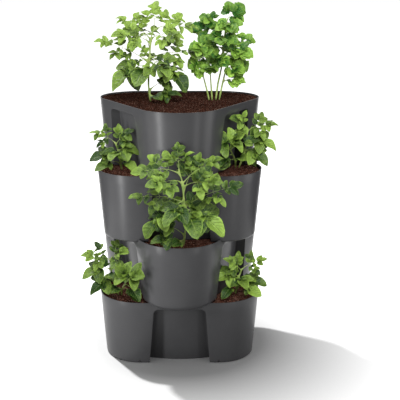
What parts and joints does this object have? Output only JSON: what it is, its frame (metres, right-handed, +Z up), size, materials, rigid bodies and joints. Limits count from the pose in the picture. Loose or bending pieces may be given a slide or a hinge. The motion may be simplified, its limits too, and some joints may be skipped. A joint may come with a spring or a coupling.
{
  "type": "vertical planter tower",
  "caption": "Stack of three-lobed plastic pots, each turned half a turn on the one below, with arched side niches, soil and leafy plants in the lobes",
  "frame": {"origin": "on the tower's axis, in the plane of the lowest pot's underside, which is the base mount", "axes": "+Z up the tower, -Y towards the side seen first, where the second and fourth pots point one lobe, +X to the right"},
  "size_m": [0.6776, 0.7147, 1.2547],
  "materials": {
    "anthracite_plastic": "satin",
    "potting_soil": "rough",
    "green_stem": "satin",
    "green_leaf": "satin",
    "bright_leaf": "satin"
  },
  "bodies": {
    "tier_1": {"pot_1": "anthracite_plastic", "soil_1": "potting_soil", "stems_lower_left": "green_stem", "leaves_lower_left": "green_leaf", "stems_lower_right": "green_stem", "leaves_lower_right": "green_leaf"},
    "tier_2": {"pot_2": "anthracite_plastic", "soil_2": "potting_soil", "stems_middle": "green_stem", "leaves_middle": "green_leaf"},
    "tier_3": {"pot_3": "anthracite_plastic", "soil_3": "potting_soil", "stems_upper_left": "green_stem", "leaves_upper_left": "green_leaf", "stems_upper_right": "green_stem", "leaves_upper_right": "green_leaf"},
    "tier_4": {"pot_4": "anthracite_plastic", "soil_4": "potting_soil", "stems_top_left": "green_stem", "leaves_top_left": "green_leaf", "stems_top_right": "green_stem", "leaves_top_right": "bright_leaf"}
  },
  "joints": [
    {"name": "lift_2", "type": "slide", "parent": "tier_1", "child": "tier_2", "axis": [0, 0, 1], "range_m": [0, 0.25]},
    {"name": "lift_3", "type": "slide", "parent": "tier_2", "child": "tier_3", "axis": [0, 0, 1], "range_m": [0, 0.25]},
    {"name": "lift_4", "type": "slide", "parent": "tier_3", "child": "tier_4", "axis": [0, 0, 1], "range_m": [0, 0.25]}
  ]
}
